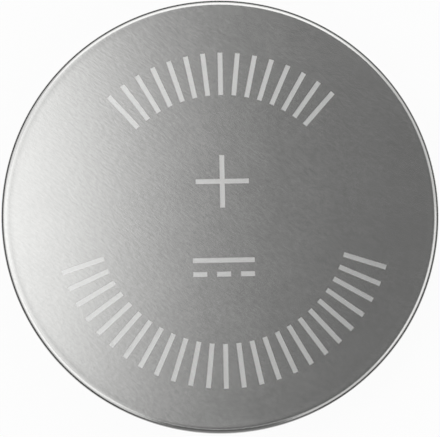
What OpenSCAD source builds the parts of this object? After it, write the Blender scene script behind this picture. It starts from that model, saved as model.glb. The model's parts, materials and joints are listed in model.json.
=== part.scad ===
// Rechargeable lithium coin cell, 30 mm across and 3.2 mm high.
// It lies on its negative cap with the positive face up: millimetres, +Z up, and the origin
// at the centre of the negative contact face.
// The can, the cap and the seal are half sections in the r-z plane, turned about Z. The seal
// is what is left between the can and the cap, so the three always seat on each other.
// The electrode stack is a pile of plates whose foil ears meet a tab on each side.

/* [Cell] */
// Diameter over the positive can
cell_d = 30; // [24:0.1:36]
// Height from the negative contact face to the positive one
cell_h = 3.2; // [2.8:0.05:5.4]

/* [Positive can] */
// Thickness of the can's sheet
can_t = 0.25; // [0.2:0.01:0.3]
// Outer radius of the corner round the positive face
can_corner_r = 0.45; // [0.35:0.01:0.7]
// Outer radius of the edge that is rolled in over the seal
roll_r = 1; // [0.9:0.01:1.2]
// Angle that the edge is rolled through, from the upright wall
roll_angle = 108; // [92:1:118]
// How far the rolled edge stays back from the negative face
roll_back = 0.2; // [0.12:0.01:0.3]

/* [Negative cap] */
// Thickness of the cap's sheet
cap_t = 0.25; // [0.2:0.01:0.3]
// Outer radius of the corner round the negative face
cap_corner_r = 0.5; // [0.3:0.01:0.55]
// Radius of the bend between the cap's neck and its shoulder
neck_bend_r = 0.15; // [0.1:0.01:0.2]

/* [Seal] */
// Thickness of the seal between the can's wall and the cap's skirt
seal_wall = 0.35; // [0.28:0.01:0.4]
// Thickness of the seal between the rolled edge and the cap's shoulder
seal_lip = 0.3; // [0.25:0.01:0.4]
// Thickness of the seal between the skirt's end and the can's floor
seal_foot = 0.3; // [0.2:0.01:0.4]
// Thickness of the seal's flange, inside the skirt
seal_flange_t = 0.25; // [0.15:0.01:0.3]
// Height of that flange along the skirt
seal_flange_h = 0.6; // [0.3:0.05:1]
// Width of the ring of seal that shows round the cap's neck
seal_ring_w = 0.35; // [0.25:0.01:0.6]
// How far that ring stays back from the rolled edge
seal_ring_back = 0.06; // [0.02:0.01:0.15]

/* [Electrode stack] */
// Number of cathode plates, which lie between one more anode plates
cathode_count = 5; // [3:1:7]
// Thickness of a separator
separator_t = 0.03; // [0.02:0.005:0.05]
// Thickness of the insulating film over and under the stack
film_t = 0.05; // [0.03:0.01:0.12]
// Thickness of the bare foil that makes a plate's ear
foil_t = 0.02; // [0.01:0.005:0.05]
// How far the ears reach past the anode plates
ear_reach = 0.6; // [0.45:0.05:1]
// How far the separators reach past the anode plates
separator_margin = 0.25; // [0.1:0.05:0.4]
// How far the cathode plates stay inside the anode plates
cathode_margin = 0.2; // [0.1:0.05:0.5]

/* [Tabs] */
// Thickness of a tab
tab_t = 0.05; // [0.03:0.01:0.12]
// Width of a tab and of the ears
tab_w = 4; // [2:0.5:6]
// Length of a tab's run along the can or the cap, from its bend to past the middle
tab_run = 14; // [8:0.5:20]
// Inner radius of a tab's bend
tab_bend_r = 0.1; // [0.05:0.01:0.15]
// How far a tab's upright reaches past the last ear
tab_end = 0.08; // [0.04:0.01:0.1]
// Gap between the corners of a tab's upright and the inside of the cap's neck
tab_gap = 0.25; // [0.2:0.05:1]

/* [Hidden] */
$fn = 128;
cell_r = cell_d / 2;
// Inside of the positive face
roof_z = cell_h - can_t;
// Centre of the roll, and the two corners of its cut end, as [r, z]
roll_c = [cell_r - roll_r, roll_back + roll_r];
roll_dir = [sin(roll_angle - 90), cos(roll_angle - 90)];
roll_end_out = roll_c - roll_r * roll_dir;
roll_end_in = roll_c - (roll_r - can_t) * roll_dir;
// Cap: neck, shoulder and skirt, all of them outside faces
neck_r = roll_end_out[0] - seal_ring_w;
shoulder_z = roll_back + can_t + seal_lip;
skirt_r = cell_r - can_t - seal_wall;
skirt_corner_r = roll_r - can_t - seal_wall;
skirt_end_z = roof_z - seal_foot;
// The corner can't be rounder than the neck is high
face_corner_r = min(cap_corner_r, shoulder_z - neck_bend_r);
// Seal: the flange's inner radius and lower end, and the level of the ring that shows
flange_r = skirt_r - cap_t - seal_flange_t;
flange_z = skirt_end_z - seal_flange_h;
ring_z = roll_end_out[1] + seal_ring_back;
// Tabs, ears and plates, from the cap's neck inwards
tab_reach = neck_r - cap_t - tab_gap;
tab_y = sqrt(tab_reach * tab_reach - tab_w * tab_w / 4);
ear_y = tab_y - tab_t;
anode_r = ear_y - ear_reach;
cathode_r = anode_r - cathode_margin;
separator_r = anode_r + separator_margin;
// The plates share what the tabs, films and separators leave of the height
plate_count = 2 * cathode_count + 1;
stack_z = cap_t + tab_t + film_t;
stack_h = roof_z - stack_z - film_t - tab_t;
plate_t = (stack_h - (plate_count - 1) * separator_t) / plate_count;
function plate_z(i) = stack_z + i * (plate_t + separator_t);
function ear_z(i) = plate_z(i) + (plate_t - foil_t) / 2;

cathode_names = [for (i = [1:cathode_count]) str("cathode_plate_", i)];
anode_names = [for (i = [1:cathode_count + 1]) str("anode_plate_", i)];
separator_names = [for (i = [1:plate_count - 1]) str("separator_", i)];

// What a round of radius r takes off a square corner at the origin, or adds in one
module corner_2d(r) {
    if (r > 0)
        difference() {
            square(r);
            translate([r, r]) circle(r);
        }
}

// Half section of a disc from z0 to z1, with its lower and upper corners rounded
module disc_2d(r, z0, z1, low_r, high_r = 0) {
    difference() {
        translate([0, z0]) square([r, z1 - z0]);
        translate([r, z0]) mirror([1, 0]) corner_2d(low_r);
        translate([r, z1]) rotate(180) corner_2d(high_r);
    }
}

// Part of a ring of sheet t thick round the origin, from angle 0 down to -angle
module roll_2d(r, t, angle) {
    far = 2 * r;
    intersection() {
        difference() {
            circle(r);
            circle(r - t);
        }
        polygon([[0, 0], for (i = [0:2]) far * [cos(i * angle / 2), -sin(i * angle / 2)]]);
    }
}

// The can's outline, moved inwards by inset
module can_space_2d(inset) {
    disc_2d(cell_r - inset, roll_back + inset, cell_h - inset, roll_r - inset, can_corner_r - inset);
}

// The can's sheet: a cup that opens downwards, then the roll under the seal
module can_2d() {
    difference() {
        can_space_2d(0);
        can_space_2d(can_t);
        square([cell_d, roll_c[1]]);
    }
    translate(roll_c) roll_2d(roll_r, can_t, roll_angle);
}

// The cap's outline, moved inwards by inset: the contact dish, the wider skirt, and the bend
// between the dish's neck and the shoulder
module cap_space_2d(inset) {
    bend = neck_bend_r + inset;
    disc_2d(neck_r - inset, inset, skirt_end_z, face_corner_r - inset);
    disc_2d(skirt_r - inset, shoulder_z + inset, skirt_end_z, skirt_corner_r - inset);
    translate([neck_r - inset, shoulder_z + inset]) mirror([0, 1]) corner_2d(bend);
}

// The cap's sheet
module cap_2d() {
    difference() {
        cap_space_2d(0);
        cap_space_2d(cap_t);
    }
}

// The room inside the cell: within the cap, and above that within the seal's flange
module chamber_2d() {
    intersection() {
        cap_space_2d(cap_t);
        square([cell_r, flange_z]);
    }
    translate([0, flange_z]) square([flange_r, roof_z - flange_z]);
}

// All that lies inside the can and outside the cap and the chamber, with the ring that shows
module seal_2d() {
    difference() {
        union() {
            can_space_2d(can_t);
            translate([0, ring_z]) square([roll_end_in[0], roll_c[1] - ring_z]);
        }
        can_2d();
        cap_2d();
        chamber_2d();
    }
}

module positive_can() {
    color([0.72, 0.72, 0.71]) rotate_extrude() can_2d();
}

module negative_cap() {
    color([0.78, 0.78, 0.77]) rotate_extrude() cap_2d();
}

module seal_ring() {
    color([0.16, 0.16, 0.17]) rotate_extrude() seal_2d();
}

// A strip bent into an L: its run lies on z = 0 and its upright stands at tab_y
module tab(height) {
    rotate([90, 0, 90]) linear_extrude(tab_w, center = true)
        difference() {
            union() {
                translate([tab_y - tab_run, 0]) square([tab_run, tab_t]);
                translate([tab_y - tab_t, 0]) square([tab_t, height]);
                translate([tab_y - tab_t, tab_t]) mirror([1, 0]) corner_2d(tab_bend_r);
            }
            translate([tab_y, 0]) mirror([1, 0]) corner_2d(tab_bend_r + tab_t);
        }
}

// The aluminium tab hangs from the can's floor and reaches down to the lowest cathode ear
module positive_tab() {
    color([0.8, 0.81, 0.83])
        translate([0, 0, roof_z]) mirror([0, 0, 1]) tab(roof_z - ear_z(1) + tab_end);
}

// The copper tab stands on the cap, on the other side, and reaches up to the highest anode ear
module negative_tab() {
    color([0.78, 0.5, 0.34])
        translate([0, 0, cap_t])
            rotate(180) tab(ear_z(plate_count - 1) + foil_t + tab_end - cap_t);
}

module film(z) {
    color([0.72, 0.5, 0.18]) translate([0, 0, z]) cylinder(r = separator_r, h = film_t);
}

// A coated foil plate, with the bare ear at mid thickness towards +Y
module plate(r) {
    cylinder(r = r, h = plate_t);
    translate([-tab_w / 2, 0, (plate_t - foil_t) / 2]) cube([tab_w, ear_y, foil_t]);
}

module cathode_plate(i) {
    color([0.22, 0.22, 0.24]) translate([0, 0, plate_z(2 * i - 1)]) plate(cathode_r);
}

module anode_plate(i) {
    color([0.13, 0.13, 0.14]) translate([0, 0, plate_z(2 * i - 2)]) rotate(180) plate(anode_r);
}

module separator(i) {
    color([0.93, 0.93, 0.92])
        translate([0, 0, plate_z(i) - separator_t]) cylinder(r = separator_r, h = separator_t);
}

positive_can();
negative_cap();
seal_ring();
positive_tab();
negative_tab();
film(stack_z + stack_h);  // upper_film
film(stack_z - film_t);  // lower_film
for (i = [1:cathode_count])
    cathode_plate(i);
for (i = [1:cathode_count + 1])
    anode_plate(i);
for (i = [1:plate_count - 1])
    separator(i);
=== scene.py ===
"""Looks of a rechargeable lithium coin cell, 30 mm across and 3.2 mm high.

The positive can, the negative cap and the seal ring are modelled anew over their solids, with
finer rounds, and the signs are sunk into the can's face. The tabs, films, plates and separators
inside keep their solids and get their finishes here. Sizes are in millimetres, as on a drawing,
and MM turns them into the scene's metres.
"""

import json
import logging
import math
from dataclasses import dataclass, field
from enum import Enum
from typing import Any, Callable

import bmesh
import bpy
from mathutils import Matrix, Vector


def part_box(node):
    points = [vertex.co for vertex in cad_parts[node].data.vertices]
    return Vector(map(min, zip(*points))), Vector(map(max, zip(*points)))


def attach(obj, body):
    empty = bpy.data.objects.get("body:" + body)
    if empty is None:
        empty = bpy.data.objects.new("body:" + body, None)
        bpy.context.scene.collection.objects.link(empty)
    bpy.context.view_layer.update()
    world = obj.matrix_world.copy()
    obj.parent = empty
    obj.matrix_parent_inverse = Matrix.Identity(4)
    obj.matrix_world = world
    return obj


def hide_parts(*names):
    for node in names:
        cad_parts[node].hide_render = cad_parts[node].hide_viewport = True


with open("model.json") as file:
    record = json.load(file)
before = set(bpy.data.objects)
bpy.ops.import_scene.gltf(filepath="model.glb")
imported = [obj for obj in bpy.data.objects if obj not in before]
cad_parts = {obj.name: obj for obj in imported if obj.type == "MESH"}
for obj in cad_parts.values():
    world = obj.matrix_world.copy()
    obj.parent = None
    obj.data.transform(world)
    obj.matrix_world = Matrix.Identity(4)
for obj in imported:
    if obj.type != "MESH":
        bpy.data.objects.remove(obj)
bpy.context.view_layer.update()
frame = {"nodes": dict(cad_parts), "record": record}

LOG = logging.getLogger("coin_cell")
MM = 0.001
BODY = "root"
ROUND_VERTICES = 256
STUDIO_VERTICES = 96
MERGE_DISTANCE = 0.0002  # mm
SAME_HEIGHT = 0.001  # mm
SAME_PLACE = 0.01  # mm
LEVEL = 0.9  # least upward or downward part of a level face's normal
SHARP_FROM = 40  # degrees between two faces

# Sockets that a Mix node uses for colours
MIX_FACTOR, MIX_LOW, MIX_HIGH, MIX_RESULT = 0, 6, 7, 2

Pair = tuple[float, float]
Ring = tuple[float, float]  # distance from the axis and height
Place = tuple[float, float, float]
Color = tuple[float, float, float]
Socket = bpy.types.NodeSocket


# Modelling helpers


def deselect_all() -> None:
    """Leaves edit mode and deselects every object."""
    if bpy.context.mode != "OBJECT":
        bpy.ops.object.mode_set(mode="OBJECT")
    bpy.ops.object.select_all(action="DESELECT")


def make_active(part: bpy.types.Object) -> None:
    """Leaves edit mode and makes one object the active and only selected one.

    Args:
        part: the object.
    """
    deselect_all()
    part.select_set(True)
    bpy.context.view_layer.objects.active = part


def add_primitive(
    operator: Callable[..., set[str]], name: str, stretch: Place = (1, 1, 1), **options: Any
) -> bpy.types.Object:
    """Adds a primitive at its place, with the place applied to its mesh.

    Args:
        operator: one of the bpy.ops.mesh.primitive operators.
        name: the new object's name.
        stretch: how far it is stretched along its own axes.
        **options: the operator's own options, in metres.

    Returns:
        The new object, at the origin, active and selected.
    """
    deselect_all()
    operator(**options)
    part = bpy.context.active_object
    part.name = name
    part.data.name = name
    part.scale = stretch
    bpy.ops.object.transform_apply(location=True, rotation=True, scale=True)
    return part


def edit(part: bpy.types.Object, select_mode: str = "FACE") -> None:
    """Opens one object in edit mode, with nothing selected.

    Args:
        part: the object to edit.
        select_mode: VERT, EDGE or FACE.
    """
    make_active(part)
    bpy.ops.object.mode_set(mode="EDIT")
    bpy.ops.mesh.select_mode(type=select_mode)
    bpy.ops.mesh.select_all(action="DESELECT")


def select(part: bpy.types.Object, kind: str, chosen: Callable[[Any], bool]) -> None:
    """Selects, in edit mode, the faces or the edges that a test picks, and no others.

    Args:
        part: the object in edit mode.
        kind: FACE or EDGE.
        chosen: says of a face or an edge whether it is picked.
    """
    bpy.ops.mesh.select_mode(type=kind)
    bpy.ops.mesh.select_all(action="DESELECT")
    mesh = bmesh.from_edit_mesh(part.data)
    for item in mesh.faces if kind == "FACE" else mesh.edges:
        if chosen(item):
            item.select_set(True)
    mesh.select_flush_mode()
    bmesh.update_edit_mesh(part.data)


def arc(centre: Ring, radius: float, start: float, end: float, steps: int) -> list[Ring]:
    """Rings along a round of a half section, without the ring that it starts from.

    Args:
        centre: the round's centre, mm.
        radius: the round's radius, mm.
        start: angle of its start, degrees, 0 outwards and 90 up.
        end: angle of its end, degrees.
        steps: number of rings.

    Returns:
        The rings, mm.
    """
    angles = [math.radians(start + (end - start) * (i + 1) / steps) for i in range(steps)]
    return [(centre[0] + radius * math.cos(a), centre[1] + radius * math.sin(a)) for a in angles]


def walk(rings: list[Ring]) -> None:
    """Extrudes the selected end of a round part from ring to ring, in edit mode.

    Args:
        rings: where the end is, and then where it goes, one extrusion for each, mm.
    """
    for (radius, height), (next_radius, next_height) in zip(rings, rings[1:]):
        rise = (0, 0, (next_height - height) * MM)
        bpy.ops.mesh.extrude_region_move(TRANSFORM_OT_translate={"value": rise})
        ratio = next_radius / radius
        centre = (0, 0, next_height * MM)
        bpy.ops.transform.resize(value=(ratio, ratio, 1), center_override=centre)


def add_drum(name: str, radius: float, low: float, high: float) -> bpy.types.Object:
    """Adds a closed cylinder about the cell's axis.

    Args:
        name: the new object's name.
        radius: its radius, mm.
        low: height of its lower end, mm.
        high: height of its upper end, mm.

    Returns:
        The cylinder.
    """
    return add_primitive(
        bpy.ops.mesh.primitive_cylinder_add,
        name,
        vertices=ROUND_VERTICES,
        radius=radius * MM,
        depth=(high - low) * MM,
        location=(0, 0, (low + high) / 2 * MM),
    )


def add_shell(name: str, rings: list[Ring], vertices: int = ROUND_VERTICES) -> bpy.types.Object:
    """Adds a circle about the cell's axis and extrudes it from ring to ring.

    Args:
        name: the new object's name.
        rings: the circle, and then where it goes, mm.
        vertices: number of the circle's corners.

    Returns:
        The shell, in edit mode, with its last ring selected.
    """
    radius, height = rings[0]
    shell = add_primitive(
        bpy.ops.mesh.primitive_circle_add,
        name,
        vertices=vertices,
        radius=radius * MM,
        location=(0, 0, height * MM),
    )
    edit(shell, "EDGE")
    bpy.ops.mesh.select_all(action="SELECT")
    walk(rings)
    return shell


def round_the_end(drum: bpy.types.Object, height: float, radius: float, steps: int, way: int) -> None:
    """Rounds the edge of a drum's flat end, and leaves the flat face inside it selected.

    Args:
        drum: the drum's object.
        height: height of the end, mm.
        radius: radius of the round, mm.
        steps: number of faces across the round.
        way: 1 for an end that faces up, -1 for one that faces down.
    """

    def on_the_end(edge: bmesh.types.BMEdge) -> bool:
        """Says whether an edge is at the end's height."""
        return all(abs(vert.co.z - height * MM) < SAME_HEIGHT * MM for vert in edge.verts)

    def inside_the_round(face: bmesh.types.BMFace) -> bool:
        """Says whether a face is the flat one that faces the end's way."""
        return way * face.normal.z > LEVEL and len(face.verts) == ROUND_VERTICES

    edit(drum)
    select(drum, "EDGE", on_the_end)
    bpy.ops.mesh.bevel(offset=radius * MM, segments=steps, profile=0.5, affect="EDGES")
    select(drum, "FACE", inside_the_round)


def close_and_smooth(part: bpy.types.Object) -> None:
    """Merges doubles, turns the faces outwards and shades the rounds smooth.

    Args:
        part: the finished mesh object.
    """
    edit(part, "VERT")
    bpy.ops.mesh.select_all(action="SELECT")
    bpy.ops.mesh.remove_doubles(threshold=MERGE_DISTANCE * MM)
    bpy.ops.mesh.normals_make_consistent(inside=False)
    make_active(part)
    bpy.ops.object.shade_smooth_by_angle(angle=math.radians(SHARP_FROM))
    deselect_all()


# Shader helpers


class Nodes:
    """Adds nodes to one node tree and links them."""

    def __init__(self, tree: bpy.types.NodeTree) -> None:
        """Keeps the tree that the nodes go into."""
        self.tree = tree

    def add(self, kind: str, inputs: dict[Any, Any] | None = None, **settings: Any) -> bpy.types.Node:
        """Adds a node, sets it up and fills its inputs.

        Args:
            kind: the node's type, without ShaderNode in front.
            inputs: what goes into each input, by name or number: a value, or a socket to link.
            **settings: the node's own properties.

        Returns:
            The new node.
        """
        prefix = "" if kind.startswith("NodeGroup") else "ShaderNode"
        node = self.tree.nodes.new(prefix + kind)
        for name, value in settings.items():
            setattr(node, name, value)
        for key, value in (inputs or {}).items():
            self.put(value, node.inputs[key])
        return node

    def put(self, value: Any, socket: Socket) -> None:
        """Fills one input.

        Args:
            value: a plain value, or a socket to link.
            socket: the input.
        """
        if isinstance(value, Socket):
            self.tree.links.new(value, socket)
        else:
            socket.default_value = value

    def calc(self, operation: str, *values: Any) -> Socket:
        """Result of a Math node's operation on numbers or sockets."""
        return self.add("Math", dict(enumerate(values)), operation=operation).outputs[0]

    def blend(self, factor: Socket, low: Any, high: Any) -> Socket:
        """Mixes two colours.

        Args:
            factor: goes from 0 for low to 1 for high.
            low: colour at 0, with its alpha, or a socket.
            high: colour at 1, with its alpha, or a socket.

        Returns:
            The mixed colour.
        """
        inputs = {MIX_FACTOR: factor, MIX_LOW: low, MIX_HIGH: high}
        return self.add("Mix", inputs, data_type="RGBA").outputs[MIX_RESULT]

    def span(self, value: Socket, low: Any, high: Any, start: float = 0, end: float = 1) -> Socket:
        """Turns a value from one range to another, with the ends held.

        Args:
            value: the value.
            low: result at start, as a number or a socket.
            high: result at end, as a number or a socket.
            start: the value's lower end.
            end: the value's upper end.

        Returns:
            The result.
        """
        inputs = {"Value": value, "From Min": start, "From Max": end, "To Min": low, "To Max": high}
        return self.add("MapRange", inputs).outputs["Result"]


def empty_nodes(owner: bpy.types.Material | bpy.types.World) -> Nodes:
    """Gives a material or a world a node tree with nothing in it.

    Args:
        owner: the material or the world.

    Returns:
        The tree's node adder.
    """
    owner.use_nodes = True
    owner.node_tree.nodes.clear()
    return Nodes(owner.node_tree)


class Effect(Enum):
    """The node groups that the finishes share, by their names."""

    GRAIN = "Directional grain"
    SPECKLE = "Fine speckle"
    OUTWARDS = "Outwards from the axis"


@dataclass
class SurfaceEffects:
    """Makes the shared node groups. Each reads the place on the object, in mm."""

    groups: dict[Effect, bpy.types.NodeTree] = field(default_factory=dict)

    def build(self) -> "SurfaceEffects":
        """Makes every group once.

        Returns:
            Itself, with its groups.
        """
        self._group(Effect.GRAIN, {"Angle": 0.0, "Length": 2.0, "Width": 0.1}, self._grain)
        self._group(Effect.SPECKLE, {"Size": 0.2, "Contrast": 0.5}, self._speckle)
        self._group(Effect.OUTWARDS, {"Start": 14.0, "End": 15.0}, self._outwards)
        return self

    def _group(
        self, effect: Effect, inputs: dict[str, float], fill: Callable[[Nodes, Any], Socket]
    ) -> None:
        """Makes a group with number inputs and one number output.

        Args:
            effect: which group.
            inputs: default value of each input.
            fill: adds its nodes, given a node adder and the group's inputs, and returns the result.
        """
        tree = bpy.data.node_groups.new(effect.value, "ShaderNodeTree")
        for label, value in inputs.items():
            socket = tree.interface.new_socket(name=label, in_out="INPUT", socket_type="NodeSocketFloat")
            socket.default_value = value
        tree.interface.new_socket(name="Level", in_out="OUTPUT", socket_type="NodeSocketFloat")
        nodes = Nodes(tree)
        level = fill(nodes, nodes.add("NodeGroupInput").outputs)
        nodes.add("NodeGroupOutput", {"Level": level})
        self.groups[effect] = tree

    @staticmethod
    def _place(nodes: Nodes) -> Socket:
        """Place on the object in mm."""
        place = nodes.add("TexCoord").outputs["Object"]
        return nodes.add("VectorMath", {0: place, "Scale": 1 / MM}, operation="SCALE").outputs[0]

    def _grain(self, nodes: Nodes, given: Any) -> Socket:
        """Long fine streaks in one direction.

        Args:
            nodes: the group's node adder.
            given: the streaks' Angle in degrees, and their Length and Width in mm.

        Returns:
            The streaks' level, about 0.5.
        """
        turn = nodes.calc("RADIANS", given["Angle"])
        inputs = {"Vector": self._place(nodes), "Angle": turn}
        turned = nodes.add("VectorRotate", inputs, rotation_type="Z_AXIS", invert=True).outputs[0]
        along = nodes.calc("DIVIDE", 1.0, given["Length"])
        across = nodes.calc("DIVIDE", 1.0, given["Width"])
        scale = nodes.add("CombineXYZ", {"X": along, "Y": across, "Z": across}).outputs[0]
        stretched = nodes.add("VectorMath", {0: turned, 1: scale}, operation="MULTIPLY").outputs[0]
        inputs = {"Vector": stretched, "Scale": 1.0, "Detail": 3.0, "Roughness": 0.6}
        return nodes.add("TexNoise", inputs).outputs[0]

    def _speckle(self, nodes: Nodes, given: Any, margin: float = 0.05) -> Socket:
        """Round cloudy spots.

        Args:
            nodes: the group's node adder.
            given: the Size of a spot in mm, and the Contrast from 0 to 1.
            margin: what is cut off the noise at each end without any contrast.

        Returns:
            The spots' level, from 0 to 1.
        """
        scale = nodes.calc("DIVIDE", 1.0, given["Size"])
        inputs = {"Vector": self._place(nodes), "Scale": scale, "Detail": 4.0, "Roughness": 0.65}
        noise = nodes.add("TexNoise", inputs).outputs[0]
        start = nodes.calc("ADD", nodes.calc("MULTIPLY", given["Contrast"], 0.5), margin)
        end = nodes.calc("SUBTRACT", 1.0, start)
        return nodes.span(noise, 0, 1, start, end)

    def _outwards(self, nodes: Nodes, given: Any) -> Socket:
        """Mask that goes from 0 near the cell's axis to 1 far from it.

        Args:
            nodes: the group's node adder.
            given: the distances from the axis at which it goes up, Start and End, in mm.

        Returns:
            The mask.
        """
        inputs = {0: self._place(nodes), 1: (1, 1, 0)}
        flat = nodes.add("VectorMath", inputs, operation="MULTIPLY").outputs[0]
        away = nodes.add("VectorMath", {0: flat}, operation="LENGTH").outputs["Value"]
        inputs = {"Value": away, "From Min": given["Start"], "From Max": given["End"]}
        return nodes.add("MapRange", inputs, interpolation_type="SMOOTHSTEP").outputs[0]


def around(middle: float, swing: float) -> Pair:
    """The two ends of a range, from its middle and half its width."""
    return middle - swing, middle + swing


def shades(color: Color, factors: Pair) -> list[tuple[float, ...]]:
    """A colour at two brightnesses, held under 1, each with its alpha."""
    return [(*(min(1.0, channel * factor) for channel in color), 1.0) for factor in factors]


# Finishes


class Coat(Nodes):
    """A material on one Principled shader, and the nodes that go into it."""

    def __init__(self, name: str, effects: SurfaceEffects) -> None:
        """Starts the material.

        Args:
            name: the material's name.
            effects: the shared node groups.
        """
        self.effects = effects
        self.material = bpy.data.materials.new(name)
        self.material.use_nodes = True
        super().__init__(self.material.node_tree)
        self.shader = self.tree.nodes["Principled BSDF"]

    def use(self, effect: Effect, **values: float) -> Socket:
        """Places a shared group.

        Args:
            effect: which group.
            **values: the group's inputs, with their names in lower case.

        Returns:
            The group's result.
        """
        inputs = {name.capitalize(): value for name, value in values.items()}
        return self.add("Group", inputs, node_tree=self.effects.groups[effect]).outputs[0]

    def fill(self, relief: Socket, depth: float, strength: float = 1.0, **inputs: Any) -> None:
        """Fills the shader's inputs.

        Args:
            relief: from 0 in the hollows to 1 on the tops.
            depth: from the hollows to the tops, mm.
            strength: share of the relief that the light sees.
            **inputs: numbers or sockets, with _ for a space in the input's name.
        """
        bump = self.add("Bump", {"Height": relief, "Strength": strength, "Distance": depth * MM})
        inputs["Normal"] = bump.outputs[0]
        for name, value in inputs.items():
            self.put(value, self.shader.inputs[name.replace("_", " ")])


@dataclass(frozen=True)
class Finish:
    """What each finish starts from, and how its material is made."""

    name: str
    color: Color

    def material(self, effects: SurfaceEffects) -> bpy.types.Material:
        """Makes the finish's material.

        Args:
            effects: the shared node groups.

        Returns:
            The material.
        """
        coat = Coat(self.name, effects)
        self.lay(coat)
        return coat.material

    def lay(self, coat: Coat) -> None:
        """Adds the finish's own nodes, which each kind does in its own way."""
        raise NotImplementedError


@dataclass(frozen=True)
class SatinSteel(Finish):
    """Plated steel sheet with a fine satin grain, polished where it is drawn round a corner."""

    face_roughness: float
    corner_roughness: float
    polish_start: float
    polish_end: float
    grain_angle: float = -29
    grain_length: float = 0.4
    grain_width: float = 0.15
    grain_tone: float = 0.09
    grain_gloss: float = 0.03
    grain_height: float = 0.0035
    cloud_size: float = 3.0
    cloud_contrast: float = 0.3
    cloud_gloss: float = 0.02

    def lay(self, coat: Coat) -> None:
        """Grain in tone, gloss and height, and a polished corner.

        Args:
            coat: the material's nodes.
        """
        streak = {"angle": self.grain_angle, "length": self.grain_length, "width": self.grain_width}
        grain = coat.use(Effect.GRAIN, **streak)
        cloud = coat.use(Effect.SPECKLE, size=self.cloud_size, contrast=self.cloud_contrast)
        polish = coat.use(Effect.OUTWARDS, start=self.polish_start, end=self.polish_end)
        rough = coat.span(cloud, *around(self.face_roughness, self.cloud_gloss))
        rough = coat.calc("ADD", rough, coat.span(grain, *around(0, self.grain_gloss)))
        gloss = coat.span(polish, rough, self.corner_roughness)
        tone = coat.blend(grain, *shades(self.color, around(1, self.grain_tone)))
        coat.fill(grain, self.grain_height, Metallic=1.0, Base_Color=tone, Roughness=gloss)


@dataclass(frozen=True)
class FrostedMark(Finish):
    """Floor of a sign that is etched into steel: pale, dull and finely pitted."""

    roughness: float
    metallic: float
    tone: Pair = (0.93, 1.05)
    pit_size: float = 0.06
    pit_contrast: float = 0.5
    pit_gloss: float = 0.06
    pit_depth: float = 0.002

    def lay(self, coat: Coat) -> None:
        """Pits in tone, gloss and height.

        Args:
            coat: the material's nodes.
        """
        pits = coat.use(Effect.SPECKLE, size=self.pit_size, contrast=self.pit_contrast)
        tone = coat.blend(pits, *shades(self.color, self.tone))
        gloss = coat.span(pits, *around(self.roughness, -self.pit_gloss))
        coat.fill(pits, self.pit_depth, Metallic=self.metallic, Base_Color=tone, Roughness=gloss)


@dataclass(frozen=True)
class MouldedSeal(Finish):
    """Moulded seal plastic: dark, dull, with the fine tooth of its mould."""

    roughness: float
    tone: Pair = (0.8, 1.25)
    contrast: float = 0.4
    cloud_size: float = 1.5
    tooth_size: float = 0.08
    tooth_gloss: float = 0.08
    tooth_depth: float = 0.004

    def lay(self, coat: Coat) -> None:
        """Tooth in height and gloss, and a faint cloud in the tone.

        Args:
            coat: the material's nodes.
        """
        tooth = coat.use(Effect.SPECKLE, size=self.tooth_size, contrast=self.contrast)
        cloud = coat.use(Effect.SPECKLE, size=self.cloud_size, contrast=self.contrast)
        tone = coat.blend(cloud, *shades(self.color, self.tone))
        gloss = coat.span(tooth, *around(self.roughness, self.tooth_gloss))
        coat.fill(tooth, self.tooth_depth, Base_Color=tone, Roughness=gloss)


@dataclass(frozen=True)
class RolledFoil(Finish):
    """Bare metal strip with rolling lines along its length."""

    roughness: float
    tone: Pair = (0.92, 1.06)
    gloss: Pair = (-0.05, 0.08)
    line_angle: float = 90.0
    line_length: float = 6.0
    line_width: float = 0.05
    line_depth: float = 0.0006

    def lines(self, coat: Coat) -> tuple[Socket, Socket]:
        """The rolling lines, and the metal's tone with them.

        Args:
            coat: the nodes of the material that they go into.

        Returns:
            The lines' level and the tone.
        """
        line = {"angle": self.line_angle, "length": self.line_length, "width": self.line_width}
        lines = coat.use(Effect.GRAIN, **line)
        return lines, coat.blend(lines, *shades(self.color, self.tone))

    def lay(self, coat: Coat) -> None:
        """Rolling lines along Y in tone, gloss and height.

        Args:
            coat: the material's nodes.
        """
        lines, tone = self.lines(coat)
        low, high = self.gloss
        gloss = coat.span(lines, self.roughness + low, self.roughness + high)
        coat.fill(lines, self.line_depth, Metallic=1.0, Base_Color=tone, Roughness=gloss)


@dataclass(frozen=True)
class CoatedPlate(Finish):
    """Pressed powder coating on metal foil, which is bare past the coating's edge."""

    coating_radius: float
    foil: RolledFoil
    roughness: float = 0.85
    tone: Pair = (0.7, 1.4)
    edge_gap: float = 0.02
    edge_width: float = 0.01
    powder_size: float = 0.05
    powder_contrast: float = 0.6
    powder_depth: float = 0.004
    powder_strength: float = 0.6

    def lay(self, coat: Coat) -> None:
        """Powder inside the coating's radius, and rolled foil on the ear.

        Args:
            coat: the material's nodes.
        """
        powder = coat.use(Effect.SPECKLE, size=self.powder_size, contrast=self.powder_contrast)
        edge = self.coating_radius + self.edge_gap
        ear = coat.use(Effect.OUTWARDS, start=edge, end=edge + self.edge_width)
        dark = coat.blend(powder, *shades(self.color, self.tone))
        inputs = {
            "Metallic": ear,
            "Base_Color": coat.blend(ear, dark, self.foil.lines(coat)[1]),
            "Roughness": coat.span(ear, self.roughness, self.foil.roughness),
        }
        coat.fill(powder, self.powder_depth, self.powder_strength, **inputs)


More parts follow.
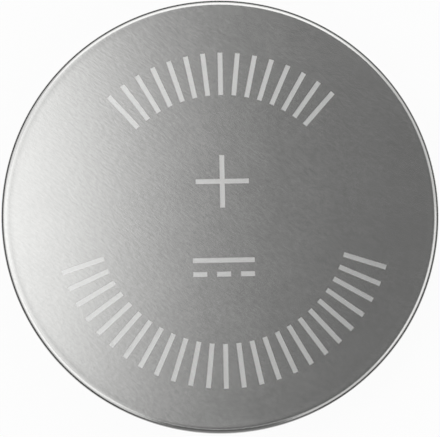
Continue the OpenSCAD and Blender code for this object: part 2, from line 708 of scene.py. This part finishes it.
@dataclass(frozen=True)
class ThinFilm(Finish):
    """Plastic film: smooth and amber to insulate, or white and full of fine pores to separate."""

    roughness: float
    tone: float
    pore_size: float
    pore_depth: float
    pore_contrast: float = 0.6
    cloud_size: float = 4.0
    cloud_contrast: float = 0.4
    cloud_gloss: float = 0.05

    def lay(self, coat: Coat) -> None:
        """Pores in height, with a cloud in the tone and the gloss.

        Args:
            coat: the material's nodes.
        """
        pores = coat.use(Effect.SPECKLE, size=self.pore_size, contrast=self.pore_contrast)
        cloud = coat.use(Effect.SPECKLE, size=self.cloud_size, contrast=self.cloud_contrast)
        tone = coat.blend(cloud, *shades(self.color, around(1, self.tone)))
        gloss = coat.span(cloud, *around(self.roughness, self.cloud_gloss))
        coat.fill(pores, self.pore_depth, Base_Color=tone, Roughness=gloss)


# The cell's outer pieces


@dataclass(frozen=True)
class CellSection:
    """The half section that the can, the cap and the seal share, in mm.

    The first five come from the frame, the steps are the rings along each round, and the others
    are those that the solids are made with.
    """

    radius: float
    height: float
    roll_back: float
    skirt_radius: float
    skirt_end: float
    sheet: float = 0.25
    face_corner: float = 0.45
    roll: float = 1.0
    roll_turn: float = 108.0
    cap_corner: float = 0.5
    neck_bend: float = 0.15
    shoulder_round: float = 0.4
    shoulder_height: float = 0.75
    ring_width: float = 0.35
    ring_back: float = 0.06
    flange: float = 0.25
    flange_height: float = 0.6
    roll_steps: int = 27
    floor_steps: int = 8
    bend_steps: int = 10

    @classmethod
    def from_frame(cls) -> "CellSection":
        """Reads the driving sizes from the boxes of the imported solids.

        Returns:
            The half section.
        """
        can_low, can_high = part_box("positive_can")
        _, cap_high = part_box("negative_cap")
        return cls(
            radius=can_high.x / MM,
            height=can_high.z / MM,
            roll_back=can_low.z / MM,
            skirt_radius=cap_high.x / MM,
            skirt_end=cap_high.z / MM,
        )

    @property
    def roof(self) -> float:
        """Height of the inside of the positive face."""
        return self.height - self.sheet

    @property
    def inner_roll(self) -> float:
        """Inside radius of the rolled edge."""
        return self.roll - self.sheet

    @property
    def roll_centre(self) -> Ring:
        """Centre of the rolled edge."""
        return self.radius - self.roll, self.roll_back + self.roll

    def roll_end(self, radius: float) -> Ring:
        """Corner of the rolled edge's cut end, at its outer or inner radius."""
        return arc(self.roll_centre, radius, 0, -self.roll_turn, 1)[0]

    @property
    def neck_radius(self) -> float:
        """Outside radius of the cap's neck."""
        return self.roll_end(self.roll)[0] - self.ring_width

    @property
    def ring_height(self) -> float:
        """Height of the ring of seal that shows round the neck."""
        return self.roll_end(self.roll)[1] + self.ring_back

    def can_inside(self) -> list[Ring]:
        """The can's inside, from the roll's cut end, up the wall and round its corner.

        Returns:
            The rings, up to the inside of the face.
        """
        wall = self.radius - self.sheet
        corner = self.face_corner - self.sheet
        centre = (wall - corner, self.roof - corner)
        rings = [self.roll_end(self.inner_roll)]
        rings += arc(self.roll_centre, self.inner_roll, -self.roll_turn, 0, self.roll_steps)
        return rings + [(wall, centre[1])] + arc(centre, corner, 0, 90, self.floor_steps)

    def cap_surface(self, inset: float) -> list[Ring]:
        """The cap's outside, or its inside, from the skirt's end down to the neck.

        Args:
            inset: distance from the outside, 0 or the sheet's thickness.

        Returns:
            The rings, down to where the neck's bend starts.
        """
        skirt = self.skirt_radius - inset
        shoulder = (self.skirt_radius - self.shoulder_round, self.shoulder_height + self.shoulder_round)
        bend = (self.neck_radius + self.neck_bend, self.shoulder_height - self.neck_bend)
        rings = [(skirt, self.skirt_end), (skirt, shoulder[1])]
        rings += arc(shoulder, self.shoulder_round - inset, 0, -90, self.bend_steps)
        rings += [(bend[0], self.shoulder_height + inset)]
        return rings + arc(bend, self.neck_bend + inset, 90, 180, self.bend_steps)


@dataclass
class OuterPiece:
    """A piece that is modelled anew over its solid."""

    section: CellSection
    finish: Finish

    def build(self, effects: SurfaceEffects) -> bpy.types.Object:
        """Models the piece and gives it its finish.

        Args:
            effects: the shared node groups.

        Returns:
            The finished piece.
        """
        part = self.model(self.section)
        close_and_smooth(part)
        part.data.materials.append(self.finish.material(effects))
        return part

    def model(self, cut: CellSection) -> bpy.types.Object:
        """Models the piece, which each kind does in its own way."""
        raise NotImplementedError


@dataclass
class PositiveCan(OuterPiece):
    """The steel cup with its flat face up and its lower edge rolled in under the seal."""

    corner_steps: int = 24
    dish_width: float = 0.45
    dish_depth: float = 0.007
    dish_steps: int = 3
    support_width: float = 0.05

    @property
    def face_height(self) -> float:
        """Height of the flat part of the face."""
        return self.section.height - self.dish_depth

    def model(self, cut: CellSection) -> bpy.types.Object:
        """Rounds and dishes the face, and rolls the lower edge in.

        Args:
            cut: the half section.

        Returns:
            The can, without its signs.
        """
        start = (cut.radius, cut.roll_centre[1])
        can = add_drum("can_shell", cut.radius, start[1], cut.height)
        round_the_end(can, cut.height, cut.face_corner, self.corner_steps, 1)
        self._dish_the_face()
        select(can, "FACE", lambda face: face.normal.z < -LEVEL)
        outside = arc(cut.roll_centre, cut.roll, 0, -cut.roll_turn, cut.roll_steps)
        walk([start] + outside + cut.can_inside())
        return can

    def _dish_the_face(self) -> None:
        """Sinks the selected face a little inside its corner, along a curve, and holds it flat."""
        step = self.dish_width / self.dish_steps
        for i in range(self.dish_steps):
            share = (2 * (self.dish_steps - i) - 1) / self.dish_steps**2
            bpy.ops.mesh.inset(thickness=step * MM, depth=-share * self.dish_depth * MM)
        bpy.ops.mesh.inset(thickness=self.support_width * MM)


@dataclass
class NegativeCap(OuterPiece):
    """The stepped steel cap: contact face, neck, shoulder and skirt, drawn from one sheet."""

    corner_steps: int = 16
    support_width: float = 0.05

    def model(self, cut: CellSection) -> bpy.types.Object:
        """Rounds the contact face, and draws the neck, the shoulder and the skirt up from it.

        Args:
            cut: the half section.

        Returns:
            The cap.
        """
        outside = cut.cap_surface(0)[::-1]
        radius, bend_start = outside[0]
        cap = add_drum("cap_dish", radius, 0, bend_start)
        round_the_end(cap, 0, cut.cap_corner, self.corner_steps, -1)
        bpy.ops.mesh.inset(thickness=self.support_width * MM)
        select(cap, "FACE", lambda face: face.normal.z > LEVEL)
        walk(outside + self._inside())
        return cap

    def _inside(self) -> list[Ring]:
        """The cap's inside, from the skirt's end to the back of the contact face.

        Returns:
            The rings.
        """
        cut = self.section
        corner = (cut.neck_radius - cut.cap_corner, cut.cap_corner)
        rings = cut.cap_surface(cut.sheet) + [(cut.neck_radius - cut.sheet, corner[1])]
        return rings + arc(corner, cut.cap_corner - cut.sheet, 0, -90, cut.bend_steps)


@dataclass
class SealRing(OuterPiece):
    """The moulded ring that fills the room between the can and the cap."""

    def model(self, cut: CellSection) -> bpy.types.Object:
        """Draws the ring along the can, down the flange and back along the cap.

        Args:
            cut: the half section.

        Returns:
            The seal.
        """
        start = (cut.neck_radius, cut.ring_height)
        rings = [start, self._on_the_rolled_end()] + cut.can_inside() + self._inside()
        return add_shell("seal", rings + cut.cap_surface(0) + [start])

    def _on_the_rolled_end(self) -> Ring:
        """Where the part that shows meets the cut end of the can's roll.

        Returns:
            The ring.
        """
        cut = self.section
        outer, inner = cut.roll_end(cut.roll), cut.roll_end(cut.inner_roll)
        share = (cut.ring_height - outer[1]) / (inner[1] - outer[1])
        return outer[0] + share * (inner[0] - outer[0]), cut.ring_height

    def _inside(self) -> list[Ring]:
        """Rings along the can's floor, down the flange and back up inside the skirt.

        Returns:
            The rings.
        """
        cut = self.section
        wall = cut.skirt_radius - cut.sheet
        flange = wall - cut.flange
        low = cut.skirt_end - cut.flange_height
        return [(flange, cut.roof), (flange, low), (wall, low), (wall, cut.skirt_end)]


class Marks(Enum):
    """What is etched into the positive face."""

    SIGNS = "the polarity sign and the direct current sign"
    SIGNS_AND_BANDS = "both signs and two curved bands of plain bars"


@dataclass
class FaceMarks:
    """Signs sunk into the positive face, cut with one tool mesh, in mm and degrees."""

    finish: FrostedMark
    marks: Marks
    face_height: float
    depth: float = 0.02
    stroke: float = 0.33
    plus_centre: Pair = (0.18, 2.12)
    plus_length: float = 3.64
    current_centre: Pair = (0.19, -3.79)
    current_width: float = 4.2
    current_gap: float = 0.95
    dashes_in_width: float = 4.4
    band_centre: Pair = (0.19, -0.42)
    band_radius: float = 10.08
    bar_length: float = 3.0
    bar_pitch: float = 6.0
    top_middle: float = 90.0
    top_span: float = 87.0
    bottom_middle: float = 270.0
    bottom_span: float = 148.0

    def cut_into(self, can: bpy.types.Object, effects: SurfaceEffects) -> None:
        """Sinks the marks into the can's face, with the frosted finish on their floors.

        Args:
            can: the finished can.
            effects: the shared node groups.
        """
        can.data.materials.append(self.finish.material(effects))
        tools = [self._plus()] + self._current_sign()
        if self.marks is Marks.SIGNS_AND_BANDS:
            tools += self._band(self.top_middle, self.top_span)
            tools += self._band(self.bottom_middle, self.bottom_span)
        tool = tools[0]
        make_active(tool)
        for body in tools:
            body.select_set(True)
        bpy.ops.object.join()
        for material in can.data.materials:
            tool.data.materials.append(material)
        for face in tool.data.polygons:
            face.material_index = 1
        make_active(can)
        cut = can.modifiers.new("Etched marks", "BOOLEAN")
        cut.operation = "DIFFERENCE"
        cut.solver = "EXACT"
        cut.material_mode = "INDEX"
        cut.object = tool
        bpy.ops.object.modifier_apply(modifier=cut.name)
        bpy.data.objects.remove(tool, do_unlink=True)
        bpy.ops.object.shade_smooth_by_angle(angle=math.radians(SHARP_FROM))

    def _bar(self, x: float, y: float, length: float, turn: float = 0.0) -> bpy.types.Object:
        """One straight bar of the tool.

        Args:
            x: its middle on the face.
            y: its middle on the face.
            length: its length.
            turn: how far it is turned from along X, degrees.

        Returns:
            The bar, half above the face and half below it.
        """
        return add_primitive(
            bpy.ops.mesh.primitive_cube_add,
            "bar",
            stretch=(length * MM, self.stroke * MM, 2 * self.depth * MM),
            size=1,
            location=(x * MM, y * MM, self.face_height * MM),
            rotation=(0, 0, math.radians(turn)),
        )

    def _plus(self) -> bpy.types.Object:
        """The polarity sign: a square with its four sides drawn out.

        Returns:
            The sign's body.
        """
        plus = self._bar(*self.plus_centre, self.stroke)
        middle = Vector((*self.plus_centre, self.face_height)) * MM
        arm = (self.plus_length - self.stroke) / 2 * MM
        edit(plus)
        for way in map(Vector, ((1, 0, 0), (0, 1, 0), (-1, 0, 0), (0, -1, 0))):
            side = middle + way * self.stroke / 2 * MM
            select(
                plus, "FACE", lambda face: (face.calc_center_median() - side).length < SAME_PLACE * MM
            )
            bpy.ops.mesh.extrude_region_move(TRANSFORM_OT_translate={"value": way * arm})
        deselect_all()
        return plus

    def _current_sign(self) -> list[bpy.types.Object]:
        """The direct current sign: a line over three dashes.

        Returns:
            Its four bars.
        """
        x, y = self.current_centre
        dash = self.current_width / self.dashes_in_width
        step = (self.current_width - dash) / 2
        line = self._bar(x, y + self.current_gap / 2, self.current_width)
        dashes = [self._bar(x + i * step, y - self.current_gap / 2, dash) for i in (-1, 0, 1)]
        return [line] + dashes

    def _band(self, middle: float, span: float) -> list[bpy.types.Object]:
        """A curved band of plain bars that point at the middle of the face.

        Args:
            middle: direction of the band's middle from the face's, degrees.
            span: the most that the band reaches round the face, degrees.

        Returns:
            The bars, at an even pitch.
        """
        gaps = math.floor(span / self.bar_pitch)
        bars = []
        for i in range(gaps + 1):
            angle = middle + (i - gaps / 2) * self.bar_pitch
            turn = math.radians(angle)
            x = self.band_centre[0] + self.band_radius * math.cos(turn)
            y = self.band_centre[1] + self.band_radius * math.sin(turn)
            bars.append(self._bar(x, y, self.bar_length, angle))
        return bars


# The pieces inside


@dataclass
class ElectrodeStack:
    """The tabs, films, plates and separators, which keep their solids."""

    effects: SurfaceEffects
    colors: dict[str, Color]
    slots: dict[str, str]
    nodes: dict[str, bpy.types.Object]

    def dress(self) -> None:
        """Gives each inner solid the finish of its slot in the record."""
        finishes = self._finishes()
        for name, slot in sorted(self.slots.items()):
            if slot not in finishes:
                continue
            solid = self.nodes[name]
            for place in solid.material_slots:
                place.material = finishes[slot]
            LOG.info("%s: %s", name, finishes[slot].name)

    def _finishes(self) -> dict[str, bpy.types.Material]:
        """Makes one material for each slot of the inner pieces.

        Returns:
            The material of each slot.
        """
        aluminium = RolledFoil("aluminium strip", self.colors["tab_aluminium"], roughness=0.3)
        copper = RolledFoil("copper strip", self.colors["tab_copper"], roughness=0.28)
        kinds = {
            "tab_aluminium": aluminium,
            "tab_copper": copper,
            "insulating_film": ThinFilm(
                "amber film",
                self.colors["insulating_film"],
                roughness=0.22,
                tone=0.12,
                pore_size=0.6,
                pore_depth=0.001,
            ),
            "separator_film": ThinFilm(
                "porous film",
                self.colors["separator_film"],
                roughness=0.6,
                tone=0.03,
                pore_size=0.04,
                pore_depth=0.004,
            ),
            "cathode_coating": self._plate("cathode powder on aluminium", "cathode", aluminium),
            "anode_coating": self._plate("graphite on copper", "anode", copper),
        }
        return {slot: finish.material(self.effects) for slot, finish in kinds.items()}

    def _plate(self, name: str, side: str, strip: RolledFoil) -> CoatedPlate:
        """The finish of one side's plates.

        Args:
            name: the material's name.
            side: cathode or anode.
            strip: finish of the same metal's tab.

        Returns:
            The finish, with the coating as wide as the plate without its ear.
        """
        low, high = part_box(f"{side}_plate_1")
        radius = (high.x - low.x) / 2 / MM
        foil = RolledFoil(strip.name, strip.color, roughness=0.35, line_length=4.0)
        return CoatedPlate(name, self.colors[f"{side}_coating"], radius, foil)


# The studio


@dataclass(frozen=True)
class Glow:
    """Light that a card gives: even, or fading with the distance from a place, in mm.

    With a side reach it also fades to both sides, along Y, down to a share of itself.
    """

    radiance: float
    far_radiance: float = 0.0
    middle: Place = (0, 0, 0)
    fade_start: float = 0.0
    fade_end: float = 0.0
    fade_power: float = 1.0
    side_middle: float = 0.0
    side_reach: float = 0.0
    side_share: float = 1.0
    side_power: float = 3.0

    def material(self, name: str) -> bpy.types.Material:
        """Makes the glowing material.

        Args:
            name: the material's name.

        Returns:
            The material, on one Emission shader.
        """
        material = bpy.data.materials.new(name)
        nodes = empty_nodes(material)
        level = self.radiance
        if self.fade_end > self.fade_start:
            level = nodes.span(self._share(nodes), self.far_radiance, self.radiance)
        light = nodes.add("Emission", {"Strength": level})
        nodes.add("OutputMaterial", {"Surface": light.outputs[0]})
        return material

    def _share(self, nodes: Nodes) -> Socket:
        """Share of the full light at each place, from 1 down to 0.

        Args:
            nodes: the material's node adder.

        Returns:
            The share.
        """
        place = nodes.add("TexCoord").outputs["Object"]
        middle = [c * MM for c in self.middle]
        away = nodes.add("VectorMath", {0: place, 1: middle}, operation="DISTANCE").outputs["Value"]
        near = nodes.span(away, 1.0, 0.0, self.fade_start * MM, self.fade_end * MM)
        curve = nodes.calc("POWER", near, self.fade_power)
        if not self.side_reach:
            return curve
        along = nodes.add("SeparateXYZ", {0: place}).outputs["Y"]
        side = nodes.calc("ABSOLUTE", nodes.calc("SUBTRACT", along, self.side_middle * MM))
        side = nodes.span(side, 0.0, 1.0, 0.0, self.side_reach * MM)
        kept = nodes.calc("SUBTRACT", 1.0, nodes.calc("POWER", side, self.side_power))
        return nodes.calc("MULTIPLY", curve, nodes.calc("MAXIMUM", kept, self.side_share))


@dataclass
class Card:
    """A flat card that the steel mirrors: a soft light when it is bright, a flag when it is dark."""

    name: str
    centre: Place
    size: Pair
    glow: Glow
    aim: Place = (0, 0, 3)
    lights_the_floor: bool = False

    def build(self) -> None:
        """Adds the card, turned to its aim and hidden from the camera."""
        way = Vector(self.aim) - Vector(self.centre)
        card = add_primitive(
            bpy.ops.mesh.primitive_plane_add,
            self.name,
            stretch=(self.size[0] * MM, self.size[1] * MM, 1),
            size=1,
            location=[c * MM for c in self.centre],
            rotation=way.to_track_quat("Z", "Y").to_euler(),
        )
        hide_from_camera(card, self.lights_the_floor)
        card.data.materials.append(self.glow.material(self.name))
        LOG.info("card %s", self.name)


def hide_from_camera(card: bpy.types.Object, lights_the_floor: bool) -> None:
    """Keeps a card out of the picture.

    Args:
        card: the card's object.
        lights_the_floor: whether it also lights dull surfaces.
    """
    card.visible_camera = False
    card.visible_shadow = False
    card.visible_transmission = False
    card.visible_diffuse = lights_the_floor


@dataclass
class Studio:
    """White room: a pale floor that keeps the shadow, bright sides, and cards for the steel."""

    floor_radius: float = 700.0
    floor_opening: float = 12.6
    floor_height: float = -0.01
    floor_color: Color = (0.97, 0.97, 0.97)
    floor_own_glow: float = 0.93
    room_for_dull: float = 0.85
    room_for_gloss: float = 0.85
    flag_radius: float = 17.0
    flag_low: float = 1.4
    flag_high: float = 3.4
    flag_radiance: float = 0.1
    flag_front_radiance: float = 0.32
    flag_fade_start: float = 2.0
    flag_fade_end: float = 9.0

    def build(self) -> None:
        """Adds the room, the floor, the flag round the cell and the cards."""
        self._room()
        self._floor()
        self._flag()
        for card in self._cards():
            card.build()

    def _cards(self) -> list[Card]:
        """The lights over, round and under the cell, and the flag in front of it.

        Returns:
            The cards.
        """
        overhead = Glow(
            radiance=1.57,
            far_radiance=0.184,
            middle=(-500, 55, 300),
            fade_start=457,
            fade_end=772,
            fade_power=15.6,
            side_middle=40,
            side_reach=110,
            side_share=0.55,
        )
        strip = Glow(radiance=1.6, far_radiance=0.8, middle=(0, 0, 600), fade_start=490, fade_end=625)
        underneath = Glow(
            radiance=1.3, far_radiance=0.35, middle=(-90, 60, -300), fade_start=80, fade_end=480
        )
        return [
            Card(
                "overhead_light",
                (-75, -40, 300),
                (570, 400),
                overhead,
                aim=(-75, -40, 0),
                lights_the_floor=True,
            ),
            Card("left_strip", (-340, -60, 230), (800, 200), strip),
            Card("lower_left_light", (-170, -119, 276), (200, 100), Glow(radiance=1.6)),
            Card("back_light", (-20, 262, 215), (420, 270), strip),
            Card("right_strip", (340, -90, 200), (300, 160), strip),
            Card("front_flag", (0, -300, 130), (220, 260), Glow(radiance=0.15)),
            Card("underneath_light", (0, 0, -300), (1500, 1500), underneath, aim=(0, 0, 0)),
        ]

    def _room(self) -> None:
        """White for the camera, and a plain level for mirrors and for dull surfaces."""
        world = bpy.data.worlds.new("white room")
        bpy.context.scene.world = world
        nodes = empty_nodes(world)
        rays = nodes.add("LightPath").outputs
        mirror = nodes.calc("MAXIMUM", rays["Is Glossy Ray"], rays["Is Transmission Ray"])
        level = nodes.span(mirror, self.room_for_dull, self.room_for_gloss)
        level = nodes.span(rays["Is Camera Ray"], level, 1.0)
        background = nodes.add("Background", {"Color": (1, 1, 1, 1), "Strength": level})
        nodes.add("OutputWorld", {"Surface": background.outputs[0]})

    def _floor(self) -> None:
        """Pale floor round the cell's contact face, which shows white with a soft shadow.

        It is open under the contact face, so that this face mirrors the light underneath.
        """
        rings = [(self.floor_opening, self.floor_height), (self.floor_radius, self.floor_height)]
        floor = add_shell("floor", rings, STUDIO_VERTICES)
        select(floor, "FACE", lambda face: face.normal.z < 0)
        bpy.ops.mesh.flip_normals()
        deselect_all()
        material = bpy.data.materials.new("pale floor")
        nodes = empty_nodes(material)
        rays = nodes.add("LightPath").outputs
        seen = nodes.calc("MAXIMUM", rays["Is Camera Ray"], rays["Is Glossy Ray"])
        seen = nodes.calc("MAXIMUM", seen, rays["Is Transmission Ray"])
        share = nodes.calc("MULTIPLY", seen, self.floor_own_glow)
        paper = nodes.add("BsdfDiffuse", {"Color": (*self.floor_color, 1)})
        white = nodes.add("Emission", {"Strength": 1.0})
        top = nodes.add("MixShader", {0: share, 1: paper.outputs[0], 2: white.outputs[0]})
        below = nodes.add("NewGeometry").outputs["Backfacing"]
        clear = nodes.add("BsdfTransparent")
        sides = nodes.add("MixShader", {0: below, 1: top.outputs[0], 2: clear.outputs[0]})
        nodes.add("OutputMaterial", {"Surface": sides.outputs[0]})
        floor.data.materials.append(material)

    def _flag(self) -> None:
        """Low dark hoop round the cell, which only the corner of the face mirrors from above."""
        rings = [(self.flag_radius, self.flag_low), (self.flag_radius, self.flag_high)]
        flag = add_shell("dark_flag", rings, STUDIO_VERTICES)
        deselect_all()
        hide_from_camera(flag, lights_the_floor=False)
        dark = Glow(
            radiance=self.flag_front_radiance,
            far_radiance=self.flag_radiance,
            middle=(0, -self.flag_radius, self.flag_low),
            fade_start=self.flag_fade_start,
            fade_end=self.flag_fade_end,
        )
        flag.data.materials.append(dark.material("dark flag"))


@dataclass
class PhotoCamera:
    """The camera, placed so that the cell's outline lies as in the photograph, 440 by 437."""

    distance: float = 97.0
    azimuth: float = -4.03
    elevation: float = 82.27
    roll: float = 2.98
    view_angle: float = 17.604
    sensor_width: float = 36
    nearest: float = 10
    furthest: float = 10000
    aim: Place = (-0.021, -0.453, 3.2)

    def build(self) -> None:
        """Adds the camera and makes it the scene's."""
        around_axis, up = math.radians(self.azimuth), math.radians(self.elevation)
        level = math.cos(up)
        back = Vector((math.sin(around_axis) * level, -math.cos(around_axis) * level, math.sin(up)))
        lens = bpy.data.cameras.new("photo_camera")
        lens.sensor_width = self.sensor_width
        lens.angle = math.radians(self.view_angle)
        lens.clip_start = self.nearest * MM
        lens.clip_end = self.furthest * MM
        camera = bpy.data.objects.new("photo_camera", lens)
        bpy.context.scene.collection.objects.link(camera)
        camera.location = (Vector(self.aim) + back * self.distance) * MM
        facing = (-back).to_track_quat("-Z", "Y").to_matrix().to_4x4()
        rolled = facing @ Matrix.Rotation(math.radians(self.roll), 4, "Z")
        camera.rotation_euler = rolled.to_euler()
        bpy.context.scene.camera = camera


def place(part: bpy.types.Object, name: str, node: str, slot: str) -> None:
    """Hands a finished piece to the frame.

    Args:
        part: the piece.
        name: its name in the model.
        node: the solid that it stands for.
        slot: the record's slot that it takes its finish from; not used.
    """
    part.name = name
    part.data.name = name
    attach(part, BODY)
    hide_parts(node)
    LOG.info("%s: %d faces", name, len(part.data.polygons))


def main() -> None:
    """Builds the cell's pieces, the studio and the camera, in that order."""
    logging.basicConfig(level=logging.INFO, format="%(message)s")
    bpy.context.scene.view_settings.view_transform = "Standard"
    effects = SurfaceEffects().build()
    section = CellSection.from_frame()
    record = frame["record"]
    colors = {row["slot"]: tuple(row["base_color"]) for row in record["materials"]}
    slots = {row["node"]: row["material_slot"] for row in record["subparts"]}

    can_finish = SatinSteel(
        "satin can steel",
        colors["can_steel"],
        face_roughness=0.2,
        corner_roughness=0.18,
        polish_start=14.5,
        polish_end=14.8,
    )
    steel_cup = PositiveCan(section, can_finish)
    can = steel_cup.build(effects)
    frosted = FrostedMark("frosted mark", (0.84, 0.84, 0.83), roughness=0.34, metallic=0.95)
    FaceMarks(frosted, Marks.SIGNS_AND_BANDS, steel_cup.face_height).cut_into(can, effects)
    place(can, "can_shell", "positive_can", "can_steel")

    cap_finish = SatinSteel(
        "satin cap steel",
        colors["cap_steel"],
        face_roughness=0.3,
        corner_roughness=0.24,
        polish_start=12.8,
        polish_end=13.2,
        grain_length=2.5,
        grain_width=0.12,
        grain_tone=0.3,
        grain_height=0.005,
    )
    cap = NegativeCap(section, cap_finish).build(effects)
    place(cap, "cap_dish", "negative_cap", "cap_steel")

    plastic = MouldedSeal("seal plastic", colors["seal_plastic"], roughness=0.55)
    seal = SealRing(section, plastic).build(effects)
    place(seal, "seal", "seal_ring", "seal_plastic")

    ElectrodeStack(effects, colors, slots, frame["nodes"]).dress()
    Studio().build()
    PhotoCamera().build()


if __name__ == "__main__":
    main()
